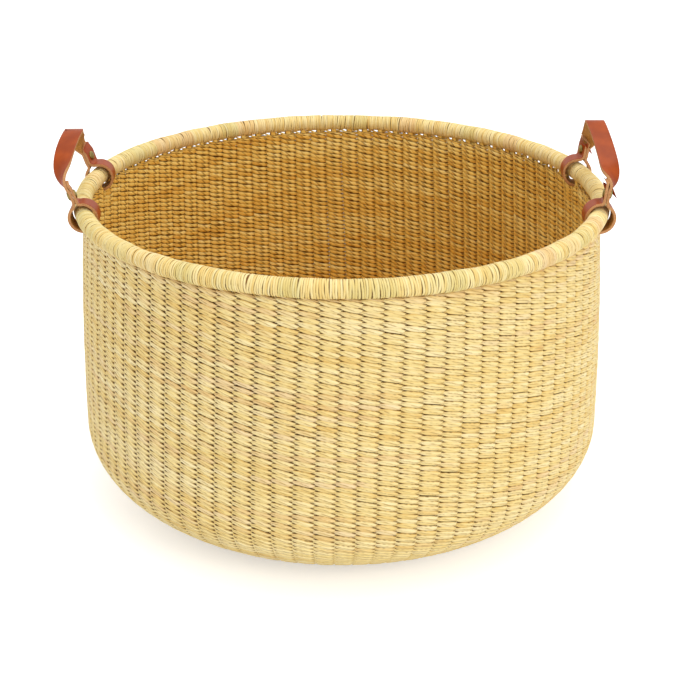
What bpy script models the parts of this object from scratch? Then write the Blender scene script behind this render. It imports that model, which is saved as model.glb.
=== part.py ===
"""A large round floor basket of twined grass, with a wrapped rim and two riveted leather strap handles.

The basket stands on the floor at z = 0 with its axis on +Z. Each handle is one strap whose two ends go
round the rim and are riveted back on themselves, so the handle tips about the chord through its loops.
"""

import math

import bmesh
import bpy
from mathutils import Matrix, Vector

# Rim
RIM_OUTER_DIAMETER = 0.560
RIM_THICKNESS = 0.0186
WRAP_THICKNESS = 0.0015
WRAP_GROOVE_DEPTH = 0.0005
BASKET_HEIGHT = 0.342
LIGHT_SLOT_HEIGHT = 0.0030

# Wall and base, measured on the outer face
WALL_THICKNESS = 0.0080
WALL_TOP_SET_OUT = 0.0006
BELLY_SWELL = 0.0080
FOOT_SWELL = 0.0115
CORNER_HEIGHT = 0.0870
CORNER_WIDTH = 0.1340
TOP_ROW_ROUND = 0.0015

# Stakes, whose ends stand out of the wall's top row and go up into the rim
STAKE_COUNT = 88
STAKE_WIDTH = 0.0060
STAKE_DEPTH = 0.0040

# Straps
STRAP_WIDTH = 0.0190
STRAP_THICKNESS = 0.0028
STRAP_EDGE_ROUND = 0.0006
STEM_SET_OUT = 0.0040
FORK_FILLET = 0.0045
TAB_PAST_RIVET = 0.0148
TAB_CORNER_CLIP = 0.0040

# Rivets
RIVET_ABOVE_FORK = 0.0055
RIVET_CAP_DIAMETER = 0.0095
RIVET_CAP_HEIGHT = 0.0020
RIVET_CAP_EDGE = 0.0006
RIVET_POST_DIAMETER = 0.0032
RIVET_SEAT_DEPTH = 0.0010

# The arch of each handle, measured from the chord through its loops along the handle's lean. The control
# lengths shape the curve at the stem and at the apex
LEFT_ARCH_HEIGHT = 0.0700
LEFT_APEX_SET_IN = 0.0065
LEFT_STEM_CONTROL = 0.0240
LEFT_APEX_CONTROL = 0.0180
LEFT_APEX_BELLY = 0.0025
RIGHT_ARCH_HEIGHT = 0.0762
RIGHT_APEX_SET_IN = 0.0060
RIGHT_STEM_CONTROL = 0.0140
RIGHT_APEX_CONTROL = 0.0130
RIGHT_APEX_BELLY = 0.0011

# Clearances
FIT_GAP = 0.0003
LOOP_CLEARANCE = 0.0004
SLOT_CLEARANCE = 0.0006
STAKE_SLOT_CLEARANCE = 0.0006
CUT_OVERRUN = 0.0020
MERGE_DISTANCE = 0.00001

# Angles in degrees, and shares. A stem twists before its rivet and splays outwards after it
LEFT_LEAN = 17.0
RIGHT_LEAN = 6.5
LEFT_STEM_SPLAY = 20.0
RIGHT_STEM_SPLAY = 19.0
LEFT_STEM_TWIST = 15.0
RIGHT_STEM_TWIST = 11.0
LEFT_TWIST_END_SHARE = 0.70
RIGHT_TWIST_END_SHARE = 0.36
STEM_TWIST_START_SHARE = 0.75
BASE_CORNER_SHARE = 0.16

# Counts of bands and facets
RIM_BANDS = 60
WALL_BANDS = 3
CORNER_STEPS = 5
BASE_STEPS = 2
RIM_OUTER_STEPS = 7
RIM_INNER_STEPS = 4
CORE_SIDES = 6
LOOP_STEPS = 15
FILLET_STEPS = 4
ARCH_STEPS = 14
CURVE_STEPS = 200
RIVET_SIDES = 12
DOME_STEPS = 3
CUTTER_SIDES = 48

# Worked out from the sizes above
RIM_RADIUS = RIM_THICKNESS / 2
RIM_CENTRE_RADIUS = RIM_OUTER_DIAMETER / 2 - RIM_RADIUS
RIM_CENTRE_HEIGHT = BASKET_HEIGHT - RIM_RADIUS
WRAP_INNER_RADIUS = RIM_RADIUS - WRAP_THICKNESS
WALL_TOP_HEIGHT = RIM_CENTRE_HEIGHT - RIM_RADIUS - LIGHT_SLOT_HEIGHT
WALL_TOP_RADIUS = RIM_CENTRE_RADIUS + WALL_TOP_SET_OUT
STAKE_RADIUS = WALL_TOP_RADIUS - WALL_THICKNESS / 2
BELLY_RADIUS = WALL_TOP_RADIUS + BELLY_SWELL
FOOT_RADIUS = WALL_TOP_RADIUS + FOOT_SWELL
FLOOR_RADIUS = FOOT_RADIUS - CORNER_WIDTH
PLY_OFFSET = (STRAP_THICKNESS + FIT_GAP) / 2
QUARTER_TURN = math.pi / 2
STAKE_PITCH = math.tau / STAKE_COUNT

# Each handle: the side it is on, counted in degrees from +X, the two gaps between stakes that its loops go
# through, counted anticlockwise from the middle of that side, and its own shape
HANDLES = {
    "left": {
        "side": 180.0, "loop_gaps": (-3, 4), "lean": LEFT_LEAN, "arch_height": LEFT_ARCH_HEIGHT,
        "apex_set_in": LEFT_APEX_SET_IN, "stem_control": LEFT_STEM_CONTROL, "stem_splay": LEFT_STEM_SPLAY,
        "apex_control": LEFT_APEX_CONTROL, "apex_belly": LEFT_APEX_BELLY, "stem_twist": LEFT_STEM_TWIST,
        "twist_end_share": LEFT_TWIST_END_SHARE,
    },
    "right": {
        "side": 0.0, "loop_gaps": (-4, 4), "lean": RIGHT_LEAN, "arch_height": RIGHT_ARCH_HEIGHT,
        "apex_set_in": RIGHT_APEX_SET_IN, "stem_control": RIGHT_STEM_CONTROL, "stem_splay": RIGHT_STEM_SPLAY,
        "apex_control": RIGHT_APEX_CONTROL, "apex_belly": RIGHT_APEX_BELLY, "stem_twist": RIGHT_STEM_TWIST,
        "twist_end_share": RIGHT_TWIST_END_SHARE,
    },
}


def new_material(name, colour, roughness, metallic):
    material = bpy.data.materials.new(name)
    material.use_nodes = True
    shader = material.node_tree.nodes["Principled BSDF"]
    shader.inputs["Base Color"].default_value = (*colour, 1.0)
    shader.inputs["Roughness"].default_value = roughness
    shader.inputs["Metallic"].default_value = metallic
    return material


def add_object(name, mesh, collection, material=None):
    thing = bpy.data.objects.new(name, mesh)
    collection.objects.link(thing)
    if material:
        mesh.materials.append(material)
    return thing


def mesh_from(bm, name):
    mesh = bpy.data.meshes.new(name)
    bm.to_mesh(mesh)
    bm.free()
    return mesh


def shade_round(mesh, crease_degrees=40.0):
    mesh.shade_smooth()
    mesh.set_sharp_from_angle(angle=math.radians(crease_degrees))


def move_to(collection, thing):
    for other in thing.users_collection:
        other.objects.unlink(thing)
    collection.objects.link(thing)


def turned_mesh(name, outline, steps, scratch, closed):
    """Turns an outline of (radius, height) points round +Z with a Screw modifier, and applies it."""
    bm = bmesh.new()
    points = [bm.verts.new((radius, 0, height)) for radius, height in outline]
    for first, second in zip(points, points[1:]):
        bm.edges.new((first, second))
    if closed:
        bm.edges.new((points[-1], points[0]))
    thing = add_object(name, mesh_from(bm, name), scratch)
    screw = thing.modifiers.new("turn", "SCREW")
    screw.axis = "Z"
    screw.steps = steps
    screw.render_steps = steps
    screw.use_merge_vertices = True
    screw.merge_threshold = MERGE_DISTANCE
    graph = bpy.context.evaluated_depsgraph_get()
    mesh = bpy.data.meshes.new_from_object(thing.evaluated_get(graph))
    bpy.data.objects.remove(thing)
    return mesh


def cut(thing, cutter, scratch):
    move_to(scratch, cutter)
    cutter.hide_render = True
    cutter.display_type = "WIRE"
    modifier = thing.modifiers.new(cutter.name, "BOOLEAN")
    modifier.operation = "DIFFERENCE"
    modifier.solver = "EXACT"
    modifier.object = cutter


# Where the handles are

def chord_of(handle):
    """The line through a handle's two loops, which it tips about, and the loops' radii round it.

    A loop turns about the chord, while the rim curves away from the chord across the strap's width, so the
    loop clears the rim's inner edge where that is furthest from the chord.
    """
    first, second = handle["loop_gaps"]
    side = round(math.radians(handle["side"]) / STAKE_PITCH)
    half_angle = (second - first) / 2 * STAKE_PITCH
    half_length = RIM_CENTRE_RADIUS * math.sin(half_angle)
    distance = RIM_CENTRE_RADIUS * math.cos(half_angle)
    outer_end = half_length + STRAP_WIDTH / 2
    inner = distance - math.sqrt((RIM_CENTRE_RADIUS - RIM_RADIUS) ** 2 - outer_end ** 2) + LOOP_CLEARANCE
    return {"half_angle": half_angle, "half_length": half_length, "distance": distance,
            "facing": (side + (first + second) / 2) * STAKE_PITCH, "gaps": (side + first, side + second),
            "inner": inner, "middle": inner + STRAP_THICKNESS / 2, "outer": inner + STRAP_THICKNESS}


def handle_matrix(handle):
    """Local X runs along the chord, local Y away from the basket and local Z up the handle."""
    chord = chord_of(handle)
    facing = chord["facing"]
    middle = Vector((chord["distance"] * math.cos(facing), chord["distance"] * math.sin(facing), RIM_CENTRE_HEIGHT))
    turn = Matrix.Rotation(facing - QUARTER_TURN, 4, "Z")
    lean = Matrix.Rotation(-math.radians(handle["lean"]), 4, "X")
    return Matrix.Translation(middle) @ turn @ lean


def loop_ends(handle):
    """Each loop's name and its sign along local X: the near loop is the one on the -Y side."""
    near = 1 if math.cos(chord_of(handle)["facing"]) > 0 else -1
    return ("near", near), ("far", -near)


# The woven shell

def stake_angles():
    """The stakes stand half a gap on from the loops. A loop pushes the two beside it apart."""
    angles = [(number + 0.5) * STAKE_PITCH for number in range(STAKE_COUNT)]
    for handle in HANDLES.values():
        chord = chord_of(handle)
        across = math.cos(chord["half_angle"]) * STAKE_WIDTH + math.sin(chord["half_angle"]) * STAKE_DEPTH
        clear = STRAP_WIDTH / 2 + SLOT_CLEARANCE + FIT_GAP + across / 2
        for gap, sign in zip(chord["gaps"], (-1, 1)):
            for number, beside in ((gap, 1), (gap - 1, -1)):
                limit = chord["facing"] + math.asin((sign * chord["half_length"] + beside * clear) / STAKE_RADIUS)
                nominal = (number + 0.5) * STAKE_PITCH
                angles[number % STAKE_COUNT] = max(nominal, limit) if beside > 0 else min(nominal, limit)
    return angles


def wall_radius(height):
    """The outer face of the wall above the corner: a parabola through its foot, belly and top."""
    share = (height - CORNER_HEIGHT) / (WALL_TOP_HEIGHT - CORNER_HEIGHT)
    foot = FOOT_RADIUS * (1 - share) * (1 - 2 * share)
    belly = BELLY_RADIUS * 4 * share * (1 - share)
    top = WALL_TOP_RADIUS * share * (2 * share - 1)
    return foot + belly + top


def corner_points(first, last, steps):
    """The corner's outer and inner face: a quarter ellipse from the floor (0) up to the wall (90 degrees)."""
    outer = []
    inner = []
    for step in range(steps + 1):
        turn = first + (last - first) * step / steps
        radius = FLOOR_RADIUS + CORNER_WIDTH * math.sin(turn)
        height = CORNER_HEIGHT * (1 - math.cos(turn))
        outward = Vector((CORNER_HEIGHT * math.sin(turn), -CORNER_WIDTH * math.cos(turn))).normalized()
        outer.append((radius, height))
        inner.append((radius - outward.x * WALL_THICKNESS, height - outward.y * WALL_THICKNESS))
    return outer, inner


def raise_stakes(bm):
    """Each facet of the wall's flat top gets the foot of its stake, which is then drawn up into the rim."""
    angles = stake_angles()
    half_turn = STAKE_WIDTH / 2 / STAKE_RADIUS
    flats = [face for face in bm.faces
             if all(abs(vert.co.z - WALL_TOP_HEIGHT) < MERGE_DISTANCE for vert in face.verts)]
    feet = bmesh.ops.extrude_discrete_faces(bm, faces=flats)["faces"]
    for face in feet:
        middle = face.calc_center_median()
        number = int(math.atan2(middle.y, middle.x) % math.tau / STAKE_PITCH)
        middle_turn = math.atan2(middle.y, middle.x)
        for vert in face.verts:
            turn = (math.atan2(vert.co.y, vert.co.x) - middle_turn + math.pi) % math.tau - math.pi
            angle = angles[number] + math.copysign(half_turn, turn)
            radius = STAKE_RADIUS + math.copysign(STAKE_DEPTH / 2, vert.co.to_2d().length - STAKE_RADIUS)
            vert.co = (radius * math.cos(angle), radius * math.sin(angle), WALL_TOP_HEIGHT)
    bm.normal_update()
    tops = bmesh.ops.extrude_discrete_faces(bm, faces=feet)["faces"]
    core_under = math.sqrt(CORE_RADIUS ** 2 - (RIM_CENTRE_RADIUS - STAKE_RADIUS - STAKE_DEPTH / 2) ** 2)
    lift = RIM_CENTRE_HEIGHT - core_under - FIT_GAP - WALL_TOP_HEIGHT
    bmesh.ops.translate(bm, vec=Vector((0, 0, lift)), verts=[vert for face in tops for vert in face.verts])


def build_wall(collection, scratch, material):
    corner_outer, corner_inner = corner_points(QUARTER_TURN * BASE_CORNER_SHARE, QUARTER_TURN, CORNER_STEPS)
    rise = (WALL_TOP_HEIGHT - CORNER_HEIGHT) / WALL_BANDS
    heights = [CORNER_HEIGHT + rise * band for band in range(1, WALL_BANDS)]
    inner_top = WALL_TOP_RADIUS - WALL_THICKNESS
    outline = [(WALL_TOP_RADIUS - TOP_ROW_ROUND, WALL_TOP_HEIGHT), (WALL_TOP_RADIUS, WALL_TOP_HEIGHT - TOP_ROW_ROUND)]
    outline += [(wall_radius(height), height) for height in reversed(heights)]
    outline += reversed(corner_outer)
    outline += corner_inner
    outline += [(wall_radius(height) - WALL_THICKNESS, height) for height in heights]
    outline += [(inner_top, WALL_TOP_HEIGHT - TOP_ROW_ROUND), (inner_top + TOP_ROW_ROUND, WALL_TOP_HEIGHT)]
    bm = bmesh.new()
    bm.from_mesh(turned_mesh("wall_turning", outline, STAKE_COUNT, scratch, closed=True))
    raise_stakes(bm)
    mesh = mesh_from(bm, "wall_weave")
    shade_round(mesh)
    wall = add_object("wall_weave", mesh, collection, material)
    for name, handle in HANDLES.items():
        cut_loop_slots(wall, name, handle, scratch)


def cut_loop_slots(wall, name, handle, scratch):
    """Each loop turns in a slot under the rim, cut round the chord out of the wall's top rows."""
    chord = chord_of(handle)
    across = Matrix.Rotation(QUARTER_TURN, 4, "Y")
    for end, sign in loop_ends(handle):
        bpy.ops.mesh.primitive_cylinder_add(vertices=CUTTER_SIDES, radius=chord["outer"] + SLOT_CLEARANCE,
                                            depth=STRAP_WIDTH + 2 * SLOT_CLEARANCE)
        cutter = bpy.context.object
        cutter.name = f"{name}_{end}_slot_cutter"
        cutter.matrix_world = handle_matrix(handle) @ Matrix.Translation((sign * chord["half_length"], 0, 0)) @ across
        cut(wall, cutter, scratch)


def build_base(collection, scratch, material):
    """The base takes the first part of the corner and meets the wall square to the corner's curve."""
    seam = QUARTER_TURN * BASE_CORNER_SHARE
    seam_gap = FIT_GAP / math.hypot(CORNER_WIDTH * math.cos(seam), CORNER_HEIGHT * math.sin(seam))
    corner_outer, corner_inner = corner_points(0, seam - seam_gap, BASE_STEPS)
    outline = [(0, WALL_THICKNESS)] + corner_inner + corner_outer[::-1] + [(0, 0)]
    mesh = turned_mesh("base_weave", outline, STAKE_COUNT, scratch, closed=False)
    shade_round(mesh)
    add_object("base_weave", mesh, collection, material)


# The rim

def rim_arc(radius, steps):
    """A ring round the rim's centre line, open below for the stakes, from the outer lip over the top."""
    slot_half = STAKE_DEPTH / 2 + STAKE_SLOT_CLEARANCE
    set_in = RIM_CENTRE_RADIUS - STAKE_RADIUS
    first = -QUARTER_TURN - math.asin((set_in - slot_half) / radius)
    last = math.tau - QUARTER_TURN - math.asin((set_in + slot_half) / radius)
    step_turn = (last - first) / steps
    turns = [first + step_turn * step for step in range(steps + 1)]
    points = [(RIM_CENTRE_RADIUS + radius * math.cos(turn), RIM_CENTRE_HEIGHT + radius * math.sin(turn))
              for turn in turns]
    return points, step_turn


def core_radius():
    """The bundle fits inside the facets of the binding."""
    _, step_turn = rim_arc(WRAP_INNER_RADIUS, RIM_INNER_STEPS)
    return WRAP_INNER_RADIUS * math.cos(step_turn / 2) - FIT_GAP


CORE_RADIUS = core_radius()


def build_rim_core(collection, material):
    bpy.ops.mesh.primitive_torus_add(major_segments=STAKE_COUNT, minor_segments=CORE_SIDES,
                                     major_radius=RIM_CENTRE_RADIUS, minor_radius=CORE_RADIUS,
                                     location=(0, 0, RIM_CENTRE_HEIGHT))
    core = bpy.context.object
    core.name = "rim_core"
    core.data.name = "rim_core"
    move_to(collection, core)
    core.data.materials.append(material)
    shade_round(core.data, 60.0)


def build_rim_wrap(collection, scratch, material):
    """The binding: bands of turns with a shallow groove between each two."""
    outer, _ = rim_arc(RIM_RADIUS, RIM_OUTER_STEPS)
    inner, _ = rim_arc(WRAP_INNER_RADIUS, RIM_INNER_STEPS)
    rings = 2 * RIM_BANDS
    mesh = turned_mesh("rim_wrap", outer[::-1] + inner, rings, scratch, closed=True)
    for vert in mesh.vertices:
        turn = math.atan2(vert.co.y, vert.co.x)
        centre = Vector((RIM_CENTRE_RADIUS * math.cos(turn), RIM_CENTRE_RADIUS * math.sin(turn), RIM_CENTRE_HEIGHT))
        off = vert.co - centre
        in_groove = round(turn / math.tau * rings) % 2 == 1
        if in_groove and off.length > RIM_RADIUS - WRAP_THICKNESS / 2:
            vert.co = centre + off * (1 - WRAP_GROOVE_DEPTH / RIM_RADIUS)
    shade_round(mesh)
    add_object("rim_wrap", mesh, collection, material)


# The straps, whose frames are (place, direction across the strap, direction out of its grain side)

def fork(handle, ply_distance):
    """Where a ply leaves its loop: the height of its fillet's centre and the angle to it from straight up."""
    height = math.sqrt((chord_of(handle)["middle"] + FORK_FILLET) ** 2 - (ply_distance + FORK_FILLET) ** 2)
    return height, math.atan2(ply_distance + FORK_FILLET, height)


def rivet_height(handle):
    return fork(handle, PLY_OFFSET - STEM_SET_OUT)[0] + RIVET_ABOVE_FORK


def stem_top(handle):
    """The strap runs straight to here, past the rivet's cap."""
    return rivet_height(handle) + RIVET_CAP_DIAMETER / 2


def eased(share):
    share = min(max(share, 0), 1)
    return share * share * (3 - 2 * share)


def stem_twisted(handle, place, across, outward):
    """Twists a frame about the stem's own axis: not at all down on the loop, fully from the rivet's cap up."""
    start = chord_of(handle)["inner"] * STEM_TWIST_START_SHARE
    end = rivet_height(handle) - RIVET_CAP_DIAMETER / 2
    twist = math.radians(handle["stem_twist"]) * eased((place.z - start) / (end - start))
    axis = Vector((chord_of(handle)["half_length"], STEM_SET_OUT, place.z))
    turn = Matrix.Rotation(-twist, 3, "Z")
    return axis + turn @ (place - axis), turn @ across, turn @ outward


def stem_frames(handle, side, heights=None):
    """A straight ply at some heights, or else past the rivet's cap. The outer ply has side 1, the inner one -1."""
    frames = []
    for height in heights or (stem_top(handle), rivet_height(handle) - RIVET_CAP_DIAMETER / 2):
        place = Vector((chord_of(handle)["half_length"], STEM_SET_OUT + side * PLY_OFFSET, height))
        frames.append(stem_twisted(handle, place, Vector((1, 0, 0)), Vector((0, side, 0))))
    return frames


def fillet_frames(handle, side):
    """From the straight ply down its fillet on to the loop."""
    distance = PLY_OFFSET + side * STEM_SET_OUT
    height, angle = fork(handle, distance)
    frames = []
    for step in range(FILLET_STEPS + 1):
        turn = (QUARTER_TURN - angle) * step / FILLET_STEPS
        outward = Vector((0, side * math.cos(turn), math.sin(turn)))
        centre = Vector((chord_of(handle)["half_length"], side * (distance + FORK_FILLET), height))
        frames.append(stem_twisted(handle, centre - outward * FORK_FILLET, Vector((1, 0, 0)), outward))
    return frames


def loop_frames(handle):
    """Round the rim, from the inner ply's fillet under the rim to the outer ply's."""
    chord = chord_of(handle)
    first = -fork(handle, PLY_OFFSET - STEM_SET_OUT)[1]
    last = fork(handle, PLY_OFFSET + STEM_SET_OUT)[1] - math.tau
    frames = []
    for step in range(1, LOOP_STEPS):
        turn = first + (last - first) * step / LOOP_STEPS
        outward = Vector((0, math.sin(turn), math.cos(turn)))
        place = Vector((chord["half_length"], 0, 0)) + outward * chord["middle"]
        frames.append(stem_twisted(handle, place, Vector((1, 0, 0)), outward))
    return frames


def arch_curve(handle):
    """The strap's middle line from its stem to its apex, finely divided, as (length run, place, travel)."""
    splay = math.radians(handle["stem_splay"])
    start = stem_frames(handle, 1)[0][0]
    apex = Vector((0, -handle["apex_set_in"], handle["arch_height"]))
    first = start + Vector((0, math.sin(splay), math.cos(splay))) * handle["stem_control"]
    second = apex + Vector((handle["apex_control"], handle["apex_belly"], 0))
    curve = []
    run = 0.0
    for step in range(CURVE_STEPS + 1):
        share = step / CURVE_STEPS
        left = 1 - share
        place = start * left ** 3 + first * 3 * left ** 2 * share + second * 3 * left * share ** 2 + apex * share ** 3
        travel = (first - start) * left ** 2 + (second - first) * 2 * left * share + (apex - second) * share ** 2
        if curve:
            run += (place - curve[-1][1]).length
        curve.append((run, place, travel.normalized()))
    return curve


def arch_frames(handle):
    """From the stem to the apex. On its way up the strap turns on from its stem's twist to level."""
    lean = math.radians(handle["lean"])
    level = Vector((0, -math.cos(lean), -math.sin(lean)))
    stem_twist = math.radians(handle["stem_twist"])
    curve = arch_curve(handle)
    length = curve[-1][0]
    frames = []
    for step in range(1, ARCH_STEPS + 1):
        run, place, travel = min(curve, key=lambda sample: abs(sample[0] - length * step / ARCH_STEPS))
        twist = stem_twist + (QUARTER_TURN - stem_twist) * eased(run / length / handle["twist_end_share"])
        across = Vector((1, 0, 0)) * math.cos(twist) + level * math.sin(twist)
        across = (across - travel * across.dot(travel)).normalized()
        frames.append((place, across, travel.cross(across)))
    return frames


def strap_frames(handle):
    """Half of the strap: the tab down along the stem, the loop round the rim, and up to the apex."""
    tab_top = rivet_height(handle) + TAB_PAST_RIVET
    frames = stem_frames(handle, -1, (tab_top, tab_top - TAB_CORNER_CLIP)) + stem_frames(handle, -1)
    frames += fillet_frames(handle, -1)
    frames += loop_frames(handle)
    frames += reversed(stem_frames(handle, 1) + fillet_frames(handle, 1))
    return frames + arch_frames(handle)


def strap_section(frame, clip):
    """The strap's section has eight corners: a rectangle with its edges taken off."""
    place, across, outward = frame
    wide = STRAP_WIDTH / 2 - clip
    thick = STRAP_THICKNESS / 2
    slim = STRAP_EDGE_ROUND
    quarter = ((wide, thick - slim), (wide - slim, thick))
    corners = [(x, y) for x, y in quarter] + [(-x, y) for x, y in reversed(quarter)]
    corners += [(-x, -y) for x, y in quarter] + [(x, -y) for x, y in reversed(quarter)]
    return [place + across * x + outward * y for x, y in corners]


def build_strap(name, handle, collection, scratch, material, pivot):
    frames = strap_frames(handle)
    bm = bmesh.new()
    rings = []
    for index, frame in enumerate(frames):
        clip = TAB_CORNER_CLIP if index == 0 else 0
        rings.append([bm.verts.new(point) for point in strap_section(frame, clip)])
    for vert in rings[-1]:
        vert.co.x = 0
    for before, after in zip(rings, rings[1:]):
        for corner in range(len(before)):
            other = (corner + 1) % len(before)
            bm.faces.new((before[corner], before[other], after[other], after[corner]))
    bm.faces.new(reversed(rings[0]))
    bmesh.ops.recalc_face_normals(bm, faces=bm.faces)
    mesh = mesh_from(bm, name)
    shade_round(mesh, 50.0)
    strap = add_object(name, mesh, collection, material)
    strap.parent = pivot
    mirror = strap.modifiers.new("other half", "MIRROR")
    mirror.use_axis = (True, False, False)
    mirror.merge_threshold = MERGE_DISTANCE
    return strap


# The rivets, one through both plies above each loop, square to the twisted stem

def seat_on_stem(thing, handle, sign, side, reach, pivot):
    """Puts a turned thing on a stem's axis at the rivet, its local +Z pointing out of the stem's face."""
    twist = sign * math.radians(handle["stem_twist"])
    outward = Vector((math.sin(twist), math.cos(twist), 0))
    middle = Vector((sign * chord_of(handle)["half_length"], STEM_SET_OUT, rivet_height(handle)))
    thing.parent = pivot
    thing.location = middle + outward * side * reach
    thing.rotation_euler = (-side * QUARTER_TURN, 0, -twist)


def drill_strap(strap, name, handle, scratch, pivot):
    for end, sign in loop_ends(handle):
        bpy.ops.mesh.primitive_cylinder_add(vertices=RIVET_SIDES, radius=RIVET_POST_DIAMETER / 2 + FIT_GAP,
                                            depth=2 * STRAP_THICKNESS + FIT_GAP + 2 * CUT_OVERRUN)
        cutter = bpy.context.object
        cutter.name = f"{name}_{end}_rivet_hole_cutter"
        seat_on_stem(cutter, handle, sign, 1, 0, pivot)
        cut(strap, cutter, scratch)


def cap_dome():
    """A rivet cap's outside, from its crown down to its edge, on z = 0 at its underside."""
    radius = RIVET_CAP_DIAMETER / 2
    crown = RIVET_CAP_HEIGHT - RIVET_CAP_EDGE
    dome = []
    for step in range(DOME_STEPS + 1):
        turn = QUARTER_TURN * step / DOME_STEPS
        dome.append((radius * math.sin(turn), RIVET_CAP_EDGE + crown * math.cos(turn)))
    return dome + [(radius, 0)]


def build_rivet(name, handle, sign, collection, scratch, material, pivot):
    """A post with the cap on its outer end, and the cap that is pressed on to it inside."""
    post_radius = RIVET_POST_DIAMETER / 2
    post_end = -(2 * STRAP_THICKNESS + 3 * FIT_GAP + RIVET_SEAT_DEPTH)
    post = cap_dome() + [(post_radius, 0), (post_radius, post_end), (0, post_end)]
    seat_radius = post_radius + FIT_GAP
    seat_depth = RIVET_SEAT_DEPTH + FIT_GAP
    cap = cap_dome() + [(seat_radius, 0), (seat_radius, seat_depth), (0, seat_depth)]
    reach = STRAP_THICKNESS + 3 * FIT_GAP / 2
    for kind, outline, side in (("post", post, 1), ("cap", cap, -1)):
        mesh = turned_mesh(f"{name}_{kind}", outline, RIVET_SIDES, scratch, closed=False)
        shade_round(mesh)
        piece = add_object(f"{name}_{kind}", mesh, collection, material)
        seat_on_stem(piece, handle, sign, side, reach, pivot)


def build_handle(name, handle, collection, scratch, leather, brass):
    pivot = bpy.data.objects.new(f"{name}_handle_pivot", None)
    collection.objects.link(pivot)
    pivot.matrix_world = handle_matrix(handle)
    strap = build_strap(f"{name}_handle_strap", handle, collection, scratch, leather, pivot)
    drill_strap(strap, name, handle, scratch, pivot)
    for end, sign in loop_ends(handle):
        build_rivet(f"{name}_{end}_rivet", handle, sign, collection, scratch, brass, pivot)


def main():
    for thing in list(bpy.data.objects):
        bpy.data.objects.remove(thing)
    basket = bpy.data.collections.new("bolga_basket")
    scratch = bpy.data.collections.new("cutters")
    bpy.context.scene.collection.children.link(basket)
    bpy.context.scene.collection.children.link(scratch)
    straw = new_material("woven_straw", (0.62, 0.45, 0.19), 0.75, 0.0)
    core_straw = new_material("bundled_straw", (0.55, 0.40, 0.18), 0.8, 0.0)
    wrap_straw = new_material("wrapping_straw", (0.72, 0.57, 0.30), 0.7, 0.0)
    leather = new_material("leather", (0.36, 0.11, 0.04), 0.5, 0.0)
    brass = new_material("antique_brass", (0.42, 0.34, 0.20), 0.4, 1.0)
    build_base(basket, scratch, straw)
    build_wall(basket, scratch, straw)
    build_rim_core(basket, core_straw)
    build_rim_wrap(basket, scratch, wrap_straw)
    for name, handle in HANDLES.items():
        build_handle(name, handle, basket, scratch, leather, brass)


main()
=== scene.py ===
import math

import bpy
import numpy as np
from mathutils import Matrix, Vector


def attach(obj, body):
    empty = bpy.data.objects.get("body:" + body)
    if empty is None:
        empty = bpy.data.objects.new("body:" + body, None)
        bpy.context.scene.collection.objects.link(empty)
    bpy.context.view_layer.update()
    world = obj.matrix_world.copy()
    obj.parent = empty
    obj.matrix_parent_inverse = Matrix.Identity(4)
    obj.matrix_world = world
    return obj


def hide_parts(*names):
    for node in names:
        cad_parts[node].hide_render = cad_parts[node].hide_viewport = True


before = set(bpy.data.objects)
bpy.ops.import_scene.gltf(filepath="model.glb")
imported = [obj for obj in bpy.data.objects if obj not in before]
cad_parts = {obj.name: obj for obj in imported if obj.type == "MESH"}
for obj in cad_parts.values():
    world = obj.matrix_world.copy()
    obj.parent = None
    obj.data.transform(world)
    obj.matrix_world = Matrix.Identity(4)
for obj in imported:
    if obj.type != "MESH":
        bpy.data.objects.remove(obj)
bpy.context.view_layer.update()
print("frame loaded")


# lengths are in metres. The solids of the frame have these too
basket = {
    "rimCentre": 0.2707, "rimHeight": 0.3327, "rimRadius": 0.0093,
    "wallTopRadius": 0.2713, "wallTopHeight": 0.3204, "wallThickness": 0.008,
    "bellyRadius": 0.2793, "footRadius": 0.2828, "cornerHeight": 0.087, "cornerWidth": 0.134,
    "seamTurn": math.radians(90 * 0.16),  # the base ends this far round the corner
    "stakes": 88,
}

# each handle's loops go round the rim at two gaps between stakes, counted from its side of the basket
handles = {
    "left": {
        "side": 180, "gaps": (-3, 4), "lean": 17.0, "archHeight": 0.0700, "apexSetIn": 0.0065,
        "stemControl": 0.0240, "apexControl": 0.0180, "apexBelly": 0.0025, "splay": 20.0, "twist": 15.0,
        "twistEnd": 0.70,
    },
    "right": {
        "side": 0, "gaps": (-4, 4), "lean": 6.5, "archHeight": 0.0762, "apexSetIn": 0.0060,
        "stemControl": 0.0140, "apexControl": 0.0130, "apexBelly": 0.0011, "splay": 19.0, "twist": 11.0,
        "twistEnd": 0.36,
    },
}


# small helpers

def srgb(text):
    parts = [int(text[i:i + 2], 16) / 255 for i in (1, 3, 5)]
    return tuple(c / 12.92 if c <= 0.04045 else ((c + 0.055) / 1.055) ** 2.4 for c in parts) + (1.0,)


def addNode(tree, kind, links=None, **settings):
    node = tree.nodes.new(kind)
    for key, value in settings.items():
        setattr(node, key, value)
    for key, value in (links or {}).items():
        if isinstance(value, bpy.types.NodeSocket):
            tree.links.new(value, node.inputs[key])
        else:
            node.inputs[key].default_value = value
    return node


def newMaterial(name):
    material = bpy.data.materials.new(name)
    material.use_nodes = True
    tree = material.node_tree
    return material, tree, tree.nodes["Principled BSDF"]


def rampNode(tree, factor, stops):
    node = addNode(tree, "ShaderNodeValToRGB", {"Fac": factor})
    while len(node.color_ramp.elements) < len(stops):
        node.color_ramp.elements.new(0.5)
    for element, (place, colour) in zip(node.color_ramp.elements, stops):
        element.position = place
        element.color = srgb(colour)
    return node.outputs["Color"]


def deselectAll():
    if bpy.context.object and bpy.context.object.mode != "OBJECT":
        bpy.ops.object.mode_set(mode="OBJECT")
    bpy.ops.object.select_all(action="DESELECT")


def makeActive(piece):
    deselectAll()
    piece.select_set(True)
    bpy.context.view_layer.objects.active = piece


def applyPlace(piece):
    makeActive(piece)
    bpy.ops.object.transform_apply(location=True, rotation=True, scale=True)


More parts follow.
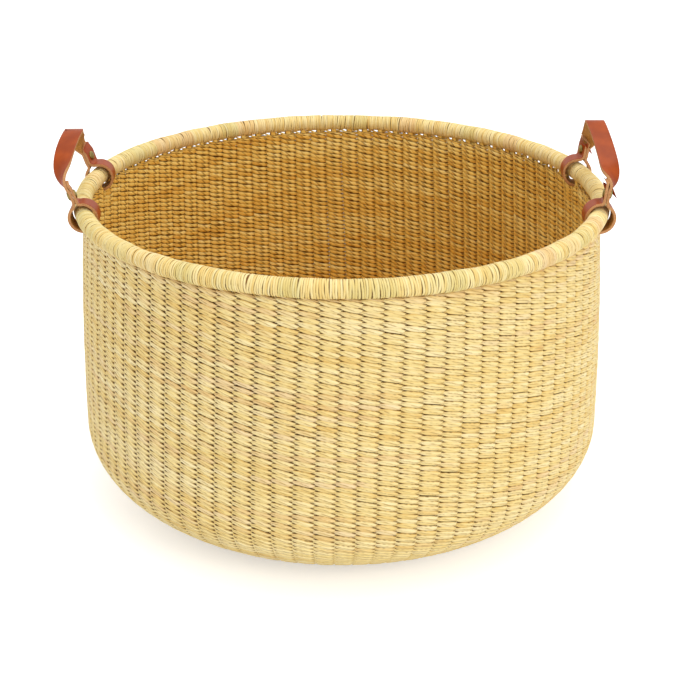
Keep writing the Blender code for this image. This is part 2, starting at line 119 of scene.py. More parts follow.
def finish(piece, material, body, slotName, *nodes):
    if material is not None:
        piece.data.materials.clear()
        piece.data.materials.append(material)
    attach(piece, body)
    if nodes:
        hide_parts(*nodes)
    return piece


def gridMesh(name, grids, closedAlong=True, rounds=None):
    # each grid is (points, shades, along, twist): points run along a tube and round it, shades are values for
    # each point, and along (metres) and twist (turns) say how far the tube and its fibres have come at each ring.
    # rounds are the shares of the way round at which the tube's sides start
    verts, quads, uvs = [], [], []
    shadeNames = list(grids[0][1])
    shades = {key: [] for key in shadeNames}
    start = 0
    for points, values, along, twist in grids:
        count, sides = points.shape[:2]
        index = start + np.arange(count * sides).reshape(count, sides)
        following = np.roll(index, -1, axis=0)
        if not closedAlong:
            index, following = index[:-1], following[:-1]
        quad = np.stack([index, np.roll(index, -1, axis=1), np.roll(following, -1, axis=1), following], axis=-1)
        near = [along[:len(quad), None] + np.zeros((1, sides)), twist[:len(quad), None]]
        far = [along[1:len(quad) + 1, None] + np.zeros((1, sides)), twist[1:len(quad) + 1, None]]
        share = np.array(rounds or np.arange(sides) / sides)[None, :]
        after = np.append(share[:, 1:], [[1.0]], axis=1)
        corners = [(near, share), (near, after), (far, after), (far, share)]
        uvs.append(np.stack([np.stack([end[0], at - end[1]], -1) for end, at in corners], axis=2).reshape(-1, 2))
        quads.append(quad.reshape(-1, 4))
        if not closedAlong:
            # two faces close each end of a tube with six sides
            quads += [index[0][[[0, 5, 4, 3], [0, 3, 2, 1]]], following[-1][[[0, 1, 2, 3], [0, 3, 4, 5]]]]
            uvs.append(np.zeros((16, 2)))
        verts.append(points.reshape(-1, 3))
        for key in shadeNames:
            shades[key].append(np.broadcast_to(values[key], (count, sides)).reshape(-1))
        start += count * sides
    verts, quads, uvs = np.concatenate(verts), np.concatenate(quads), np.concatenate(uvs)
    mesh = bpy.data.meshes.new(name)
    mesh.vertices.add(len(verts))
    mesh.vertices.foreach_set("co", verts.astype(np.float32).ravel())
    mesh.loops.add(quads.size)
    mesh.loops.foreach_set("vertex_index", quads.astype(np.int32).ravel())
    mesh.polygons.add(len(quads))
    mesh.polygons.foreach_set("loop_start", np.arange(0, quads.size, 4, dtype=np.int32))
    layer = mesh.uv_layers.new(name="alongStrand")
    layer.data.foreach_set("uv", uvs.astype(np.float32).ravel())
    for key in shadeNames:
        attribute = mesh.attributes.new(key, "FLOAT", "POINT")
        attribute.data.foreach_set("value", np.concatenate(shades[key]).astype(np.float32))
    mesh.update(calc_edges=True)
    mesh.validate()
    mesh.shade_smooth()
    piece = bpy.data.objects.new(name, mesh)
    bpy.context.scene.collection.objects.link(piece)
    return piece


# the shell's middle surface from the base's middle to the wall's top, as tables over the length run along it

def wallRadius(height):
    share = (height - basket["cornerHeight"]) / (basket["wallTopHeight"] - basket["cornerHeight"])
    foot = basket["footRadius"] * (1 - share) * (1 - 2 * share)
    return foot + basket["bellyRadius"] * 4 * share * (1 - share) + basket["wallTopRadius"] * share * (2 * share - 1)


def shellTables():
    half = basket["wallThickness"] / 2
    floorRadius = basket["footRadius"] - basket["cornerWidth"]
    floor = [(r, 0.0, 0.0, -1.0) for r in np.linspace(0, floorRadius, 40)[:-1]]
    turns = np.linspace(0, math.pi / 2, 120)
    corner = []
    for turn in turns:
        across, down = basket["cornerHeight"] * math.sin(turn), -basket["cornerWidth"] * math.cos(turn)
        size = math.hypot(across, down)
        corner.append((floorRadius + basket["cornerWidth"] * math.sin(turn),
                       basket["cornerHeight"] * (1 - math.cos(turn)), across / size, down / size))
    wall = []
    for height in np.linspace(basket["cornerHeight"], basket["wallTopHeight"] + 0.02, 120)[1:]:
        slope = (wallRadius(height + 1e-4) - wallRadius(height - 1e-4)) / 2e-4
        size = math.hypot(1, slope)
        wall.append((wallRadius(height), height, 1 / size, -slope / size))
    table = np.array(floor + corner + wall)
    radius = table[:, 0] - table[:, 2] * half
    height = table[:, 1] - table[:, 3] * half
    run = np.concatenate([[0], np.cumsum(np.hypot(np.diff(radius), np.diff(height)))])
    seam = np.interp(basket["seamTurn"], turns, run[len(floor):len(floor) + len(corner)])
    top = np.interp(basket["wallTopHeight"], height[len(floor):], run[len(floor):])
    return {"run": run, "radius": radius, "height": height, "outX": table[:, 2], "outZ": table[:, 3],
            "seam": seam, "top": top}


shell = shellTables()


def onShell(run, turn, off):
    # a point on the shell at this run and turn, moved off its middle surface by off
    radius = np.interp(run, shell["run"], shell["radius"])
    height = np.interp(run, shell["run"], shell["height"])
    outX = np.interp(run, shell["run"], shell["outX"])
    outZ = np.interp(run, shell["run"], shell["outZ"])
    reach = radius + outX * off
    place = np.stack([reach * np.cos(turn), reach * np.sin(turn), height + outZ * off], -1)
    normal = np.stack([outX * np.cos(turn), outX * np.sin(turn), outZ + 0 * turn], -1)
    return place, normal / np.linalg.norm(normal, axis=-1, keepdims=True)


def ripple(turn, run, seed, waves=7, most=9, runLength=0.12):
    # smooth unevenness between about -1 and 1, the same after a full turn
    dice = np.random.default_rng(seed)
    total = 0
    for _ in range(waves):
        total = total + np.sin(dice.integers(1, most + 1) * turn + run / runLength * dice.uniform(-2, 2)
                               + dice.uniform(0, math.tau))
    return total / math.sqrt(waves) / 1.6


# where the handles are

def chordOf(handle):
    pitch = math.tau / basket["stakes"]
    first, second = handle["gaps"]
    side = round(math.radians(handle["side"]) / pitch)
    halfAngle = (second - first) / 2 * pitch
    halfLength = basket["rimCentre"] * math.sin(halfAngle)
    distance = basket["rimCentre"] * math.cos(halfAngle)
    outerEnd = halfLength + strapSize["width"] / 2
    inner = distance - math.sqrt((basket["rimCentre"] - basket["rimRadius"]) ** 2 - outerEnd ** 2) + 0.0004
    return {"halfLength": halfLength, "distance": distance, "facing": (side + (first + second) / 2) * pitch,
            "inner": inner, "middle": inner + strapSize["thickness"] / 2, "outer": inner + strapSize["thickness"]}


strapSize = {
    "width": 0.019, "thickness": 0.0028, "plyGap": 0.0003, "stemSetOut": 0.004, "forkFillet": 0.0045,
    "tabPastRivet": 0.0148, "cornerClip": 0.004, "rivetAboveFork": 0.0055, "capDiameter": 0.0095,
    "edgeRound": 0.0006, "columns": 8, "loopSteps": 44, "filletSteps": 7, "archSteps": 46,
}


def loopTurns():
    # the four loops: the angle of each round the basket
    found = []
    for handle in handles.values():
        chord = chordOf(handle)
        turn = math.asin(chord["halfLength"] / basket["rimCentre"])
        found += [chord["facing"] - turn, chord["facing"] + turn]
    return found


def loopAway(turn):
    # how far each loop's middle is along the rim, in metres
    return [((turn - loop + math.pi) % math.tau - math.pi) * basket["wallTopRadius"] for loop in loopTurns()]


def loopPress(turn, run):
    # the strap's loops press the top rows down, less and less further below
    low = np.clip((run - (shell["top"] - pressing["depth"])) / pressing["depth"], 0, 1)
    total = 0
    for away in loopAway(turn):
        near = np.clip((pressing["flat"] + pressing["fall"] - np.abs(away)) / pressing["fall"], 0, 1)
        total = total + near * near * (3 - 2 * near)
    return total * low * low * pressing["most"]


pressing = {"most": 0.0050, "flat": 0.0095, "fall": 0.0070, "depth": 0.040, "aside": 0.0020}


# the twined rows: two strands to a row, which change places between each two stakes

weave = {
    "rowPitch": 0.0053, "rowsPerPiece": 11,
    "thick": 0.0029, "reach": 0.0024,        # a strand's thickness, and how far its middle stands off the shell's
    "tallOver": 1.07,                        # as a share of the row's pitch, over a stake
    "betweenOutside": 0.66, "betweenInside": 0.84,  # the same between two stakes, as the strand comes to each side
    "drop": 0.42,                            # half of what a stitch drops on its way, as a share of the pitch
    "outerBias": 0.14, "steepness": 0.44,    # strands change places a little nearer the outside
    "headOnTop": 0.15,                       # a stitch's head lies over the tail of the one before
    # places along a stitch, and at each how much painted shade its edges get where they meet the next rows, and on
    # the inside how much narrower it is
    "places": (0.0, 0.08, 0.24, 0.38, 0.5, 0.62, 0.76, 0.92),
    "slitOutside": (0.86, 0.78, 0.15, 0.32, 0.0, 0.26, 0.10, 0.72), "looserGap": 0.18, "leftSlitShade": 0.75,
    "leftSlitShadeLonger": 0.45,
    "slitInside": (0.70, 0.50, 0.20, 0.40, 0.80, 0.40, 0.20, 0.50),
    "pinchOutside": 0.0, "pinchInside": 0.24,
    "flatOver": 0.38, "flatBetween": 0.20,   # half of the flat part of a strand's side, as a share of its height
    "rowUneven": 0.00070, "stitchUneven": 0.10, "lean": 0.095, "wander": 0.0075,
    "twistOutside": -0.12, "twistInside": -0.88, "toneLength": 7, "topRowRise": 0.0010,
    "rounds": (0, 0.11, 0.21, 0.50, 0.61, 0.71),
}


def columnTurn(column, run):
    # the angle of a column of stitches or of a stake, which leans and wanders a little on its way up
    turn = column * math.tau / basket["stakes"]
    near = np.clip((shell["top"] - run) / 0.03, 0, 1)
    turn = turn + weave["lean"] * (run - shell["top"]) + weave["wander"] * near * ripple(turn, run, 11, most=14)
    high = np.clip((run - shell["top"] + 0.035) / 0.035, 0, 1)
    for away in loopAway(turn):
        push = np.sign(away) * np.exp(-((np.abs(away) - strapSize["width"] / 2) / 0.006) ** 2)
        turn = turn + pressing["aside"] / basket["wallTopRadius"] * push * high * high
    return turn


def knotted(dice, column, stakes, length):
    # a value that drifts along a strand, the same after a full turn
    knots = max(2, round(stakes / length))
    values = dice.uniform(0, 1, knots)
    place = (column / stakes * knots + dice.uniform(0, knots)) % knots
    first = np.floor(place).astype(int)
    share = np.clip((place - first - 0.35) / 0.3, 0, 1)
    return values[first % knots] * (1 - share) + values[(first + 1) % knots] * share


def rowAt(run, rowPitch, stakes, dice, tall=1.0, pinkness=0.0):
    # the two strands of one row as grids for gridMesh
    radius = float(np.interp(run, shell["run"], shell["radius"]))
    pitch = math.tau * radius / stakes
    size = min(1.0, pitch / 0.012)
    cell = np.repeat(np.arange(stakes), len(weave["places"]))
    share = np.tile(weave["places"], stakes)
    column = cell + share
    place = run + weave["rowUneven"] * ripple(column / stakes * math.tau, run, 12, most=9, runLength=0.05)
    turn = columnTurn(column * basket["stakes"] / stakes, place)
    length = radius * math.tau
    over = np.sin(math.pi * share)
    rowTone = knotted(dice, column, stakes, weave["toneLength"])
    rowTint = knotted(dice, column, stakes, weave["toneLength"])
    # the weave is looser towards the left handle and tighter towards the right one; its gaps open wider on the left,
    # where its slits also get more painted shade, darker and longer
    leftward = -np.cos(turn)
    grids = []
    for strand in (0, 1):
        outside = np.where((cell + strand) % 2 == 0, 1.0, -1.0)
        plump = dice.uniform(-1, 1, stakes)[cell] * weave["stitchUneven"]
        nudge = dice.uniform(-1, 1, stakes)[cell] * weave["stitchUneven"]
        wave = outside * over + weave["outerBias"] - weave["headOnTop"] * outside * (2 * share - 1) * (1 - over)
        wave = np.clip(wave / weave["steepness"], -1, 1)
        off = weave["reach"] * size * (wave + 0.6 * plump * over * outside)
        sloped = place + weave["drop"] * rowPitch * outside * (1 - 2 * share) * size + nudge * over * rowPitch
        sloped = sloped - loopPress(turn, sloped)
        middle, normal = onShell(sloped, turn, off)
        travel = np.roll(middle, -1, axis=0) - np.roll(middle, 1, axis=0)
        travel /= np.linalg.norm(travel, axis=-1, keepdims=True)
        up = np.cross(normal, travel)
        up /= np.linalg.norm(up, axis=-1, keepdims=True)
        out = np.cross(travel, up)
        thick = weave["thick"] * (1 + 0.3 * plump) * size
        between = np.where(outside > 0, weave["betweenOutside"] - weave["looserGap"] * leftward, weave["betweenInside"])
        slit = np.where(outside > 0, np.tile(weave["slitOutside"], stakes), np.tile(weave["slitInside"], stakes))
        # the painted shade in the slits varies from stitch to stitch and grows towards the left side
        chance = dice.uniform(-0.7, 1.7, len(slit)).clip(0, 1.5)
        often = dice.uniform(0.7, 1.1, len(slit)) * np.where(outside > 0, 1 + weave["leftSlitShade"] * leftward, 1)
        slit = slit * np.where((over > 0.5) & (outside > 0), chance, often)
        slit = slit + weave["leftSlitShadeLonger"] * np.maximum(leftward, 0) * ((over < 0.8) & (outside > 0))
        pinch = np.where(outside > 0, weave["pinchOutside"], weave["pinchInside"])
        height = between + (weave["tallOver"] - between) * np.sqrt(over)
        height = rowPitch * tall * height * (1 + plump * over) * (1 - pinch * slit * over)
        flat = weave["flatBetween"] + (weave["flatOver"] - weave["flatBetween"]) * np.sqrt(over)
        across = np.array((0.95, 0, -0.95, -0.95, 0, 0.95))
        upward = np.array((0, 0.5, 0, 0, -0.5, 0)) + flat[:, None] * np.array((1, 0, 1, -1, 0, -1))
        points = (middle[:, None, :] + out[:, None, :] * (thick / 2)[:, None, None] * across[None, :, None]
                  + up[:, None, :] * (height[:, None] * upward)[:, :, None])
        tone = rowTone * 0.70 + knotted(dice, column, stakes, 3) * 0.20 + dice.uniform(0, 1, stakes)[cell] * 0.10
        tint = (rowTint * 0.8 + knotted(dice, column, stakes, 3) * 0.2) * 2 - 1
        shades = {"tone": tone[:, None], "tint": np.maximum(tint, pinkness)[:, None], "facing": across[None, :],
                  "slit": slit[:, None], "edge": upward * 2}
        along = np.append(column, stakes) / stakes * length + dice.uniform(0, 50)
        # the strand's two plies lie almost side by side on the outside and turn over on the inside
        turning = np.where(outside > 0, weave["twistOutside"], weave["twistInside"])
        before = np.append(0, np.cumsum(turning[share == 0])) - strand * weave["twistInside"]
        grids.append((points, shades, along, np.append(before[cell] + turning * share, before[-1])))
    return grids


def stakesAt(radius):
    return next(count for count, least in ((88, 0.118), (44, 0.060), (22, 0.024), (12, 0)) if radius > least)


def buildTwining(material):
    dice = np.random.default_rng(3)
    seam, top = shell["seam"], shell["top"]
    wallRows = round((top - seam) / weave["rowPitch"])
    pitch = (top - seam) / wallRows
    runs = [seam + pitch * (row + 0.5) for row in range(wallRows)]
    for first in range(0, wallRows, weave["rowsPerPiece"]):
        grids = []
        for run in runs[first:first + weave["rowsPerPiece"]]:
            grids += rowAt(run, pitch, basket["stakes"], dice)
        if first + weave["rowsPerPiece"] >= wallRows:
            # the last row, thin and pinkish, half closes the slots under the rim
            grids += rowAt(top + weave["topRowRise"], pitch, basket["stakes"], dice, tall=0.40, pinkness=0.9)
        piece = gridMesh(f"wallTwining{first // weave['rowsPerPiece'] + 1}", grids, rounds=weave["rounds"])
        finish(piece, material, "basket", "woven_straw", "wall_weave")
    runs = np.arange(seam - pitch / 2, stake["heartRun"], -pitch)
    outer = [run for run in runs if stakesAt(np.interp(run, shell["run"], shell["radius"])) == basket["stakes"]]
    outer = outer[:weave["rowsPerPiece"]]
    for name, chosen in (("baseTwiningOuter", outer), ("baseTwiningInner", runs[len(outer):])):
        grids = []
        for run in chosen:
            grids += rowAt(run, pitch, stakesAt(np.interp(run, shell["run"], shell["radius"])), dice)
        finish(gridMesh(name, grids, rounds=weave["rounds"]), material, "basket", "woven_straw", "base_weave")
    print("twining:", wallRows, "rows in the wall and", len(runs), "in the base")


# the stakes, which show between the stitches and under the rim

stake = {"topWidth": 0.0070, "spread": 1.03, "depth": 0.0024, "samples": 90, "sides": 6,
         "heartRun": 0.008, "heartSpread": 1.15}


def buildStakes(material):
    dice = np.random.default_rng(5)
    grids = []
    for number in range(basket["stakes"]):
        start = 0.0002 if number % 8 == 0 else 0.024 if number % 4 == 0 else 0.060 if number % 2 == 0 else 0.118
        run = np.linspace(start, shell["top"] + 0.010, stake["samples"])
        turn = columnTurn(number + 0.5, run)
        middle, normal = onShell(run, turn, 0 * run)
        travel = np.gradient(middle, axis=0)
        travel /= np.linalg.norm(travel, axis=-1, keepdims=True)
        side = np.cross(travel, normal)
        around = np.arange(stake["sides"]) / stake["sides"] * math.tau
        # a stake is a few stalks, which lie side by side down the wall and gather under the rim
        radius = np.interp(run, shell["run"], shell["radius"])
        count = np.array([stakesAt(value) for value in radius])
        wide = radius * math.tau / count * np.where(radius < 0.024, stake["heartSpread"], stake["spread"])
        gathered = np.clip((run - shell["top"] + 0.006) / 0.005, 0, 1)
        wide = wide + (stake["topWidth"] * dice.uniform(0.7, 1.2) - wide) * gathered
        points = (middle[:, None, :] + normal[:, None, :] * stake["depth"] / 2 * np.sin(around)[None, :, None]
                  + side[:, None, :] * (wide / 2)[:, None, None] * np.cos(around)[None, :, None])
        tone = np.full((len(run), 1), dice.uniform(0.1, 0.7))
        # only under the rim and in the heart of the base is a stake seen whole; elsewhere it shows only through the
        # holes between the stitches, and there its colour is painted shade, dark all over
        whole = ((gathered > 0) | (run < stake["heartRun"] + 0.003))[:, None]
        shades = {"tone": tone, "tint": tone * 0, "facing": np.sin(around)[None, :],
                  "slit": np.where(whole, 0.3, 1.0), "edge": np.where(whole, np.cos(around)[None, :], 1.0)}
        grids.append((points, shades, run + dice.uniform(0, 50), 0 * run))
    piece = gridMesh("stakes", grids, closedAlong=False)
    print("stakes:", basket["stakes"])
    return finish(piece, material, "basket", "woven_straw", "wall_weave", "base_weave")


# the rim: a bundle of grass, bound all round with split grass

binding = {
    "turnPitch": 0.00225, "uneven": 0.22, "thick": 0.0016, "overlap": 1.20,
    "groupMin": 4, "groupMax": 12, "groupGap": 0.00040, "tilt": 0.0009, "lumps": 0.00045, "turnUneven": 0.00012,
    "samples": 22, "sides": 6, "bundleRadius": 0.0079,
}


def buildRim(bindingStraw, bundleStraw):
    deselectAll()
    bpy.ops.mesh.primitive_torus_add(major_segments=264, minor_segments=16, major_radius=basket["rimCentre"],
                                     minor_radius=binding["bundleRadius"], location=(0, 0, basket["rimHeight"]))
    bundle = bpy.context.object
    bundle.name = "rimBundle"
    applyPlace(bundle)
    bpy.ops.object.shade_smooth()
    finish(bundle, bundleStraw, "basket", "bundled_straw", "rim_core")
    dice = np.random.default_rng(9)
    widths, gaps, tilts = [], [], []
    length = math.tau * basket["rimCentre"]
    while sum(widths) + sum(gaps) < length:
        tilt = dice.uniform(-1, 1) * binding["tilt"]
        for number in range(dice.integers(binding["groupMin"], binding["groupMax"] + 1)):
            widths.append(binding["turnPitch"] * (1 + binding["uneven"] * dice.uniform(-1, 1)))
            gaps.append(0.0)
            tilts.append(tilt + dice.uniform(-1, 1) * binding["tilt"] * 0.35)
        gaps[-1] = binding["groupGap"] * dice.uniform(0.4, 1.6)
    widths, gaps, tilts = np.array(widths), np.array(gaps), np.array(tilts)
    ends = np.cumsum(widths + gaps)
    share = length / ends[-1]
    turns = (ends - gaps - widths / 2) * share / basket["rimCentre"]
    tone = dice.uniform(0, 0.8, len(turns))
    tint = np.repeat(dice.uniform(-0.9, 0.9, len(turns) // 9 + 1), 9)[:len(turns)]
    around = np.arange(binding["samples"]) / binding["samples"] * math.tau
    corner = np.arange(binding["sides"]) / binding["sides"] * math.tau
    halves = {"Far": [], "Near": []}
    for number, turn in enumerate(turns):
        # one turn: a flattened ring round the bundle, slightly tilted
        lean = tilts[number] / basket["rimCentre"] * np.sin(around + dice.uniform(-0.4, 0.4))
        lean = lean + 0.0002 / basket["rimCentre"] * np.sin(2 * around + dice.uniform(0, math.tau))
        angle = turn + lean
        radius = basket["rimRadius"] - binding["thick"] / 2 + binding["lumps"] * ripple(turn, 0, 21, most=40)
        radius = radius + dice.uniform(-1, 0.6) * binding["turnUneven"] + 0 * around
        outward = np.stack([np.cos(angle) * np.cos(around), np.sin(angle) * np.cos(around), np.sin(around)], -1)
        centre = np.stack([np.cos(angle) * basket["rimCentre"], np.sin(angle) * basket["rimCentre"],
                           0 * around + basket["rimHeight"]], -1)
        sideways = np.stack([-np.sin(angle), np.cos(angle), 0 * angle], -1)
        middle = centre + outward * radius[:, None]
        half = widths[number] * share * binding["overlap"] / 2
        points = (middle[:, None, :] + outward[:, None, :] * binding["thick"] / 2 * np.cos(corner)[None, :, None]
                  + sideways[:, None, :] * half * np.sin(corner)[None, :, None])
        # painted shade at the sides of each turn, where it meets the next, deepest on the underside of the rim
        shades = {"tone": np.full((len(around), 1), tone[number]), "tint": np.full((len(around), 1), tint[number]),
                  "facing": np.ones((1, 1)), "slit": 0.10 - 0.16 * np.sin(around)[:, None],
                  "edge": np.sin(corner)[None, :]}
        along = np.append(around, math.tau) * basket["rimRadius"] + dice.uniform(0, 50)
        halves["Far" if math.sin(turn) > 0 else "Near"].append((points, shades, along, 0 * along))
    for name, grids in halves.items():
        finish(gridMesh(f"rimBinding{name}", grids), bindingStraw, "basket", "wrapping_straw", "rim_wrap")
    print("rim:", len(turns), "turns of binding")


# the straps, whose frames are (place, direction across, direction out of the grain side) in the handle's own
# space: X along the chord through its loops, Y away from the basket, Z up the handle

def handleMatrix(handle):
    chord = chordOf(handle)
    facing = chord["facing"]
    middle = Vector((chord["distance"] * math.cos(facing), chord["distance"] * math.sin(facing), basket["rimHeight"]))
    turn = Matrix.Rotation(facing - math.pi / 2, 4, "Z")
    return Matrix.Translation(middle) @ turn @ Matrix.Rotation(-math.radians(handle["lean"]), 4, "X")


def forkOf(handle, plyDistance):
    fillet = strapSize["forkFillet"]
    height = math.sqrt((chordOf(handle)["middle"] + fillet) ** 2 - (plyDistance + fillet) ** 2)
    return height, math.atan2(plyDistance + fillet, height)


def plyOffset():
    return (strapSize["thickness"] + strapSize["plyGap"]) / 2


def rivetHeight(handle):
    return forkOf(handle, plyOffset() - strapSize["stemSetOut"])[0] + strapSize["rivetAboveFork"]


def eased(share):
    share = min(max(share, 0), 1)
    return share * share * (3 - 2 * share)


def twisted(handle, place, across, outward):
    start = chordOf(handle)["inner"] * 0.75
    end = rivetHeight(handle) - strapSize["capDiameter"] / 2
    twist = math.radians(handle["twist"]) * eased((place.z - start) / (end - start))
    axis = Vector((chordOf(handle)["halfLength"], strapSize["stemSetOut"], place.z))
    turn = Matrix.Rotation(-twist, 3, "Z")
    return axis + turn @ (place - axis), turn @ across, turn @ outward


def stemFrames(handle, side, heights):
    frames = []
    for height in heights:
        place = Vector((chordOf(handle)["halfLength"], strapSize["stemSetOut"] + side * plyOffset(), height))
        frames.append(twisted(handle, place, Vector((1, 0, 0)), Vector((0, side, 0))))
    return frames


def filletFrames(handle, side):
    distance = plyOffset() + side * strapSize["stemSetOut"]
    height, angle = forkOf(handle, distance)
    frames = []
    for step in range(strapSize["filletSteps"] + 1):
        turn = (math.pi / 2 - angle) * step / strapSize["filletSteps"]
        outward = Vector((0, side * math.cos(turn), math.sin(turn)))
        centre = Vector((chordOf(handle)["halfLength"], side * (distance + strapSize["forkFillet"]), height))
        frames.append(twisted(handle, centre - outward * strapSize["forkFillet"], Vector((1, 0, 0)), outward))
    return frames


def loopFrames(handle):
    chord = chordOf(handle)
    first = -forkOf(handle, plyOffset() - strapSize["stemSetOut"])[1]
    last = forkOf(handle, plyOffset() + strapSize["stemSetOut"])[1] - math.tau
    frames = []
    for step in range(1, strapSize["loopSteps"]):
        turn = first + (last - first) * step / strapSize["loopSteps"]
        outward = Vector((0, math.sin(turn), math.cos(turn)))
        frames.append(twisted(handle, Vector((chord["halfLength"], 0, 0)) + outward * chord["middle"],
                              Vector((1, 0, 0)), outward))
    return frames


def archFrames(handle, start):
    splay = math.radians(handle["splay"])
    lean = math.radians(handle["lean"])
    apex = Vector((0, -handle["apexSetIn"], handle["archHeight"]))
    first = start + Vector((0, math.sin(splay), math.cos(splay))) * handle["stemControl"]
    second = apex + Vector((handle["apexControl"], handle["apexBelly"], 0))
    level = Vector((0, -math.cos(lean), -math.sin(lean)))
    samples, run = [], 0.0
    for step in range(401):
        share = step / 400
        left = 1 - share
        place = start * left ** 3 + first * 3 * left ** 2 * share + second * 3 * left * share ** 2 + apex * share ** 3
        travel = (first - start) * left ** 2 + (second - first) * 2 * left * share + (apex - second) * share ** 2
        if samples:
            run += (place - samples[-1][1]).length
        samples.append((run, place, travel.normalized()))
    frames = []
    for step in range(1, strapSize["archSteps"] + 1):
        wanted = run * step / strapSize["archSteps"]
        ran, place, travel = min(samples, key=lambda sample: abs(sample[0] - wanted))
        twist = math.radians(handle["twist"])
        twist += (math.pi / 2 - twist) * eased(ran / run / handle["twistEnd"])
        across = Vector((1, 0, 0)) * math.cos(twist) + level * math.sin(twist)
        across = (across - travel * across.dot(travel)).normalized()
        frames.append((place, across, travel.cross(across)))
    return frames


def strapFrames(handle):
    rivet = rivetHeight(handle)
    tabTop = rivet + strapSize["tabPastRivet"]
    capTop, capFoot = rivet + strapSize["capDiameter"] / 2, rivet - strapSize["capDiameter"] / 2
    clip = strapSize["cornerClip"]
    stem = stemFrames(handle, 1, np.linspace(capTop, capFoot, 4))
    arch = archFrames(handle, stem[0][0])
    # past the rivet the strap's tab lies against the strap's other ply as that starts to bend
    runs = np.cumsum([0.0] + [(arch[i][0] - (arch[i - 1][0] if i else stem[0][0])).length for i in range(len(arch))])
    tab = []
    for past in (tabTop - capTop, tabTop - capTop - clip * 0.5, tabTop - capTop - clip, (tabTop - capTop) * 0.3):
        place, across, outward = arch[max(0, int(np.argmin(np.abs(runs[1:] - past))))]
        tab.append((place - outward * 2 * plyOffset(), across, -outward))
    frames = tab + stemFrames(handle, -1, np.linspace(capTop, capFoot, 4)) + filletFrames(handle, -1)
    return frames + loopFrames(handle) + list(reversed(stem + filletFrames(handle, 1))) + arch


def buildStrap(name, handle, materials):
    frames = strapFrames(handle)
    columns = strapSize["columns"]
    rows = []
    run = 0.0
    for index, (place, across, outward) in enumerate(frames):
        clip = strapSize["cornerClip"] * (1, 0.5, 0)[min(index, 2)]
        half = strapSize["width"] / 2 - clip
        if index:
            run += (place - frames[index - 1][0]).length
        rows.append((run, [place + across * half * (2 * column / columns - 1) for column in range(columns + 1)]))
    rows += [(2 * run - ran, [Vector((-p.x, p.y, p.z)) for p in points]) for ran, points in reversed(rows[:-1])]
    mesh = bpy.data.meshes.new(f"{name}Strap")
    verts = [point for _, points in rows for point in points]
    faces = []
    for row in range(len(rows) - 1):
        for column in range(columns):
            corner = row * (columns + 1) + column
            faces.append((corner, corner + 1, corner + columns + 2, corner + columns + 1))
    mesh.from_pydata(verts, [], faces)
    layer = mesh.uv_layers.new(name="alongStrap")
    for loop in mesh.loops:
        row, column = divmod(loop.vertex_index, columns + 1)
        layer.data[loop.index].uv = (rows[row][0], (column / columns - 0.5) * strapSize["width"])
    for material in materials:
        mesh.materials.append(material)
    strap = bpy.data.objects.new(f"{name}Strap", mesh)
    bpy.context.scene.collection.objects.link(strap)
    strap.matrix_world = handleMatrix(handle)
    applyPlace(strap)
    # the strip's faces have to look out of the grain side before the strip gets its thickness
    face = mesh.polygons[len(faces) // 4]
    place, across, outward = frames[len(faces) // 4 // columns]
    if (handleMatrix(handle).to_3x3() @ outward).dot(face.normal) < 0:
        makeActive(strap)
        bpy.ops.object.mode_set(mode="EDIT")
        bpy.ops.mesh.select_all(action="SELECT")
        bpy.ops.mesh.flip_normals()
        bpy.ops.object.mode_set(mode="OBJECT")
    solid = strap.modifiers.new("thickness", "SOLIDIFY")
    solid.thickness = strapSize["thickness"]
    solid.offset = 0
    solid.use_even_offset = True
    solid.material_offset = 1
    solid.material_offset_rim = 2
    bevel = strap.modifiers.new("edges", "BEVEL")
    bevel.width = strapSize["edgeRound"]
    bevel.segments = 2
    bevel.limit_method = "ANGLE"
    bevel.angle_limit = math.radians(50)
    makeActive(strap)
    bpy.ops.object.modifier_apply(modifier="thickness")
    bpy.ops.object.modifier_apply(modifier="edges")
    bpy.ops.object.shade_smooth_by_angle(angle=math.radians(40))
    print("strap:", name, len(strap.data.polygons), "faces")
    finish(strap, None, f"{name}_handle", "leather", f"{name}_handle_strap")
    return strap


rivet = {"capHeight": 0.0020, "capEdge": 0.0006, "postDiameter": 0.0032, "segments": 32, "rings": 16}


